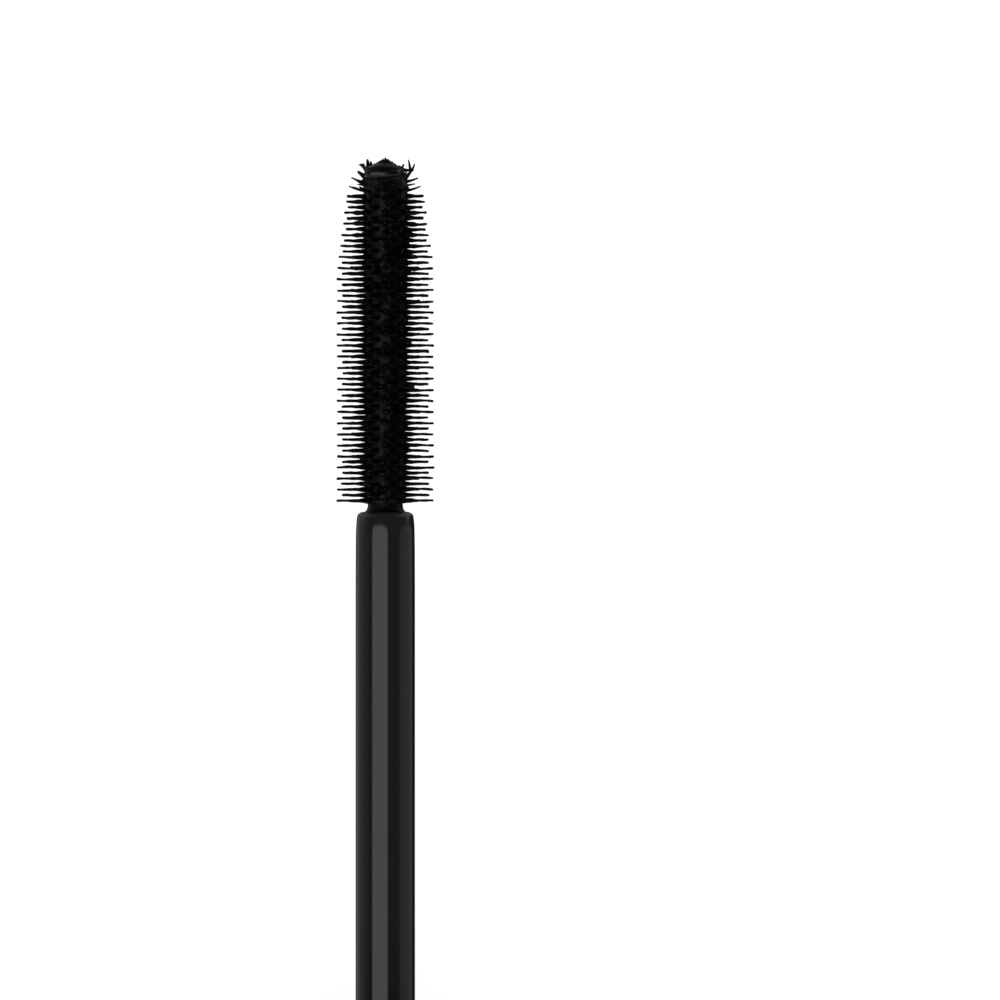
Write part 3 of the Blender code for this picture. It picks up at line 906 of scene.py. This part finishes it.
def build_wet_product(look, chance):
    """The wet patch on the tip, and the beads of product round the tip and along the sleeve."""
    bm = bmesh.new()
    patch = Matrix.Translation(Vector(PATCH_CENTRE) * MM) @ Matrix.Diagonal((*PATCH_SIZE, 1.0))
    bmesh.ops.create_uvsphere(bm, u_segments=48, v_segments=32, radius=1.0 * MM, matrix=patch)
    for _ in range(TIP_BEADS):
        angle = chance.uniform(0, 2 * math.pi)
        station = chance.uniform(109.0, 112.3) * MM
        add_bead(bm, polar(1.52 * MM, angle, station), chance.uniform(0.06, 0.14) * MM, chance)
    for _ in range(SLEEVE_BEADS):
        angle = chance.uniform(0, 2 * math.pi)
        station = chance.uniform(89.0, 110.5) * MM
        reach = SLEEVE_RADIUS + clog(station) + chance.uniform(0.0, 0.25) * MM
        add_bead(bm, polar(reach, angle, station), chance.uniform(0.04, 0.09) * MM, chance)
    mesh = mesh_of(bm, "brush_product")
    finish_piece("brush_product", mesh, WAND_ZERO, "wand", look, [])


# ---------------------------------------------------------------- tube

# The vial's neck, from its lip, with its thread, and the shoulder below it
LIP = 38.7 * MM
NECK_OUTSIDE = 5.8 * MM
NECK_INSIDE = 4.8 * MM
MALE_CREST = 6.5 * MM
MALE_TURNS = 1.1
VIAL_SHOULDER = 53.2 * MM


def build_tube_shell(look):
    start = ends_of("tube_shell", TUBE_ZERO)[0]
    step = start + 1.6 * MM
    bore = 7.5 * MM
    mouth = 6.7 * MM
    ease = 0.2 * MM
    profile = barrel_end(SHUT_LENGTH, 1) + barrel_end(start, -1)
    profile += turned((mouth + ease, start), (mouth, start + ease), (mouth, step), (bore, step))
    profile += turned((bore, SHUT_LENGTH - ease), (bore + ease, SHUT_LENGTH))
    mesh = loft(profile, closed=True)
    finish_piece("tube_body", mesh, TUBE_ZERO, "tube", look, ["tube_shell"])


def build_vial(look):
    """The inner bottle: its round heel, eased shoulder and threaded neck."""
    end = ends_of("vial", TUBE_ZERO)[1]
    outside = 7.2 * MM
    inside = outside - 1.0 * MM
    bottom = end - 1.0 * MM
    heel = 0.6 * MM
    edge = 0.3 * MM
    edge_start = VIAL_SHOULDER + 0.8 * MM
    edge_end = VIAL_SHOULDER + 0.5 * MM
    neck_foot = VIAL_SHOULDER + 0.4 * MM
    bottle_start = VIAL_SHOULDER + 1.8 * MM
    ease = 0.25 * MM
    lip_ease = 0.1 * MM
    profile = turned((0, end)) + arc(outside - heel, end - heel, heel, 90, 0)
    profile += turned((outside, edge_start), (outside - edge, edge_end), (NECK_OUTSIDE, VIAL_SHOULDER))
    profile += arc(NECK_OUTSIDE - ease, LIP + ease, ease, 0, -90, COARSE_ARC)
    profile += turned((NECK_INSIDE + lip_ease, LIP), (NECK_INSIDE, LIP + lip_ease))
    profile += turned((NECK_INSIDE, neck_foot), (inside, bottle_start), (inside, bottom), (0, bottom))
    thread = thread_ridge(NECK_OUTSIDE - THREAD_SINK, MALE_CREST, MALE_START, MALE_TURNS, 0.0)
    mesh = united(loft(profile), thread)
    finish_piece("vial_bottle", mesh, TUBE_ZERO, "tube", look, ["vial"])


def build_wiper(look):
    """The wiper: a flange on the neck's lip, a cup down into it and a cone that ends in the orifice."""
    near, far = ends_of("wiper", TUBE_ZERO)
    outside = 4.6 * MM
    wall = 0.5 * MM
    inside = outside - wall
    flange = radius_of("wiper")
    flange_end = near + wall
    bend = 44.0 * MM
    orifice = 2.25 * MM
    ease = 0.15 * MM
    mouth_ease = 0.2 * MM
    bend_ease = 0.3 * MM
    profile = turned((orifice + wall, far), (outside, bend), (outside, flange_end))
    profile += turned((flange - ease, flange_end), (flange, flange_end - ease))
    profile += arc(flange - ease, near + ease, ease, 0, -90, COARSE_ARC)
    profile += turned((inside + mouth_ease, near), (inside, near + mouth_ease))
    profile += turned((inside, bend - bend_ease), (inside - ease, bend + bend_ease))
    profile += turned((orifice, far - 0.2 * MM), (orifice + 0.1 * MM, far))
    mesh = loft(profile, closed=True)
    finish_piece("wiper_cup", mesh, TUBE_ZERO, "tube", look, ["wiper"])


def build_base(disc_look, sticker_look):
    """The disc that closes the outer tube, and the sticker in its recess."""
    near, far = ends_of("base_plug", TUBE_ZERO)
    outside = radius_of("base_plug")
    label = radius_of("base_label")
    ease = 0.2 * MM
    recess = far - 0.4 * MM
    rim = label + 0.3 * MM
    profile = turned((0, recess), (rim, recess), (rim, far - ease), (rim + ease, far))
    profile += arc(outside - ease, far - ease, ease, 90, 0, COARSE_ARC)
    profile += turned((outside, near), (0, near))
    finish_piece("base_disc", loft(profile), TUBE_ZERO, "tube", disc_look, ["base_plug"])

    low, high = ends_of("base_label", TUBE_ZERO)
    edge = 0.05 * MM
    profile = turned((0, high), (label - edge, high), (label, high - edge), (label, low), (0, low))
    finish_piece("base_sticker", loft(profile), TUBE_ZERO, "tube", sticker_look,
                 ["base_label"])


def build_collar(look):
    near, far = ends_of("collar_ring", TUBE_ZERO)
    outside = radius_of("collar_ring")
    bore = 6.15 * MM
    bore_ease = 0.1 * MM
    ease = 0.3 * MM
    profile = arc(outside - ease, far - ease, ease, 90, 0)
    profile += arc(outside - ease, near + ease, ease, 0, -90)
    profile += turned((bore + bore_ease, near), (bore, near + bore_ease), (bore, far))
    mesh = loft(profile, closed=True)
    finish_piece("trim_ring", mesh, TUBE_ZERO, "collar", look, ["collar_ring"])


# ---------------------------------------------------------------- stage

def emissive(name, radiance, ramp):
    """A plain light-giving material. ramp is None or (clear end, bright end) along the card's own X.

    The card's X runs from -1 to 1."""
    made = bpy.data.materials.new(name)
    made.use_nodes = True
    tree = made.node_tree
    tree.nodes.clear()
    out = tree.nodes.new("ShaderNodeOutputMaterial")
    glow = tree.nodes.new("ShaderNodeEmission")
    glow.inputs["Strength"].default_value = radiance
    tree.links.new(glow.outputs["Emission"], out.inputs["Surface"])
    if ramp:
        places = tree.nodes.new("ShaderNodeTexCoord")
        parts = tree.nodes.new("ShaderNodeSeparateXYZ")
        tree.links.new(places.outputs["Object"], parts.inputs["Vector"])
        clear = tree.nodes.new("ShaderNodeBsdfTransparent")
        mixed = tree.nodes.new("ShaderNodeMixShader")
        brightness = spread(tree, parts.outputs["X"], ramp[0], ramp[1], 0.0, 1.0)
        tree.links.new(brightness, mixed.inputs["Fac"])
        tree.links.new(clear.outputs["BSDF"], mixed.inputs[1])
        tree.links.new(glow.outputs["Emission"], mixed.inputs[2])
        tree.links.new(mixed.outputs["Shader"], out.inputs["Surface"])
    return made


def card(name, corners, centre, rotation, half_width, half_length, radiance, ramp):
    """A flat glowing card that only reflections show. Its corners run from -1 to 1 both ways."""
    mesh = bpy.data.meshes.new(name)
    mesh.from_pydata(corners, [], [list(range(len(corners)))])
    item = bpy.data.objects.new(name, mesh)
    bpy.context.scene.collection.objects.link(item)
    item.location = centre
    item.rotation_euler = rotation
    item.scale = (half_width, half_length, 1.0)
    mesh.materials.append(emissive(name, radiance, ramp))
    item.visible_camera = False
    item.visible_shadow = False
    item.visible_diffuse = False


def panel(name, from_angle, to_angle, distance, near_y, far_y, radiance, ramp=None, rounding=0.0):
    """A softbox that spans these angles round the wand's axis, from straight up towards +X, in degrees.

    Its +Y end is a half ellipse as deep as rounding."""
    middle = math.radians((from_angle + to_angle) / 2)
    half_width = distance * math.tan(math.radians(abs(to_angle - from_angle) / 2))
    half_length = (far_y - near_y) / 2
    depth = rounding / half_length
    steps = 24
    corners = [(-1.0, -1.0, 0.0), (1.0, -1.0, 0.0)]
    for i in range(steps + 1):
        turn = math.pi * i / steps
        corners.append((math.cos(turn), 1 - depth + depth * math.sin(turn), 0.0))
    height = AXIS_HEIGHT + distance * math.cos(middle)
    centre = (distance * math.sin(middle), (near_y + far_y) / 2, height)
    card(name, corners, centre, (0.0, middle + math.pi, 0.0), half_width, half_length, radiance, ramp)


def end_card(name, centre, flat, half_width, half_length, radiance, ramp=None):
    """A square-cornered card that stands across Y or, when flat, lies level with its own X along Y."""
    corners = [(-1.0, -1.0, 0.0), (1.0, -1.0, 0.0), (1.0, 1.0, 0.0), (-1.0, 1.0, 0.0)]
    rotation = (0.0, 0.0, math.pi / 2) if flat else (math.pi / 2, 0.0, 0.0)
    card(name, corners, centre, rotation, half_width, half_length, radiance, ramp)


def build_floor():
    """A white table, lit from inside enough to stay white under the soft shadows."""
    mesh = bpy.data.meshes.new("floor")
    bm = bmesh.new()
    bmesh.ops.create_grid(bm, x_segments=1, y_segments=1, size=8.0)
    bm.to_mesh(mesh)
    bm.free()
    floor = bpy.data.objects.new("floor", mesh)
    bpy.context.scene.collection.objects.link(floor)
    paint, _, shader = new_material("floor_white", (0.36, 0.36, 0.36), 0.9)
    shader.inputs["Specular IOR Level"].default_value = 0.0
    shader.inputs["Emission Color"].default_value = (1.0, 1.0, 1.0, 1.0)
    shader.inputs["Emission Strength"].default_value = 0.80
    mesh.materials.append(paint)
    floor.visible_glossy = False


def build_world():
    """An even white sky that reflections don't show."""
    world = bpy.data.worlds.new("studio")
    bpy.context.scene.world = world
    world.use_nodes = True
    world.node_tree.nodes["Background"].inputs["Color"].default_value = (1.0, 1.0, 1.0, 1.0)
    world.node_tree.nodes["Background"].inputs["Strength"].default_value = 1.0
    world.cycles_visibility.glossy = False
    bpy.context.scene.view_settings.view_transform = "Standard"


def build_lights():
    panel("key_softbox", from_angle=-51.6, to_angle=9.4, distance=0.80, near_y=-0.60, far_y=0.064,
          radiance=1.27, rounding=0.041)
    panel("side_softbox", from_angle=58.4, to_angle=127.4, distance=0.60, near_y=-0.60, far_y=0.030,
          radiance=0.275, rounding=0.04)
    panel("left_glow", from_angle=-64.0, to_angle=-150.0, distance=0.60, near_y=-0.60, far_y=0.60,
          radiance=0.45, ramp=(-1.0, 1.0))

    # Cards beyond both ends of the row, for the flat faces and for views from the sides
    side = {"flat": False, "half_width": 1.18, "half_length": 0.90}
    end_card("far_left_card", (-1.6, 0.9, 0.60), radiance=0.42, ramp=(1.3, -0.6), **side)
    end_card("far_right_card", (1.6, 0.9, 0.60), radiance=0.35, ramp=(-1.3, 0.6), **side)
    end_card("near_card", (0.0, -0.9, 0.60), False, half_width=2.8, half_length=0.90, radiance=0.50)
    level = {"flat": True, "half_width": 0.75, "half_length": 2.0}
    end_card("far_deep_card", (0.0, 0.80, -0.30), radiance=0.60, ramp=(-1.0, -0.8), **level)
    end_card("near_deep_card", (0.0, -0.87, -0.30), radiance=0.60, ramp=(1.0, 0.8), **level)
    end_card("tube_floor_card", (0.0, 0.78, 0.0), radiance=0.90, ramp=(-1.0, -0.93), **level)
    end_card("cap_floor_card", (0.0, -0.807, 0.0), radiance=0.90, ramp=(1.0, 0.93), **level)


def build_camera():
    """Straight down on the brush, a little to its right, framing 72 mm at the height of its axis."""
    distance = 1200.0 * MM
    width = 72.2 * MM
    sensor = 36.0
    to_the_right = 8.28 * MM
    past_the_first_ring = 0.04 * MM
    data = bpy.data.cameras.new("camera")
    data.sensor_width = sensor
    data.lens = sensor * distance / width
    data.clip_start = 0.01
    data.clip_end = 40.0
    camera = bpy.data.objects.new("camera", data)
    bpy.context.scene.collection.objects.link(camera)
    camera.location = (to_the_right, WAND_ZERO + FIRST_RING + past_the_first_ring, AXIS_HEIGHT + distance)
    bpy.context.scene.camera = camera


# ---------------------------------------------------------------- the whole

def build_wand(lacquer, wet):
    """The cap, washer, stem and brush."""
    bristle = pin_material()
    build_cap_shell(lacquer)
    build_cap_insert(moulded_material())
    dress_hidden("cap_weight", steel_material())
    build_liner(foam_material())
    build_stem(rod_material())
    build_brush_rod(bristle)
    build_brush(bristle)
    chance = random.Random(23)
    build_tip(bristle, chance)
    build_wet_product(wet, chance)


def build_tube(lacquer, wet):
    """The outer tube with the vial, wiper and product in it, its base and its trim ring."""
    neck_look = stained_material("vial_plastic", (0.56, 0.56, 0.545), 0.32,
                                 start=4.7 * MM, end=5.0 * MM, ragged_by=0.5 * MM)
    cup_look = stained_material("wiper_plastic", (0.66, 0.66, 0.645), 0.40,
                                start=4.15 * MM, end=4.8 * MM, ragged_by=0.35 * MM)
    build_tube_shell(lacquer)
    build_vial(neck_look)
    build_wiper(cup_look)
    dress_hidden("product", wet)
    build_base(lacquer, paper_material())
    build_collar(plated_material())


def build():
    lacquer = lacquer_material()
    wet = wet_material()
    build_wand(lacquer, wet)
    build_tube(lacquer, wet)
    build_floor()
    build_world()
    build_lights()
    build_camera()


build()
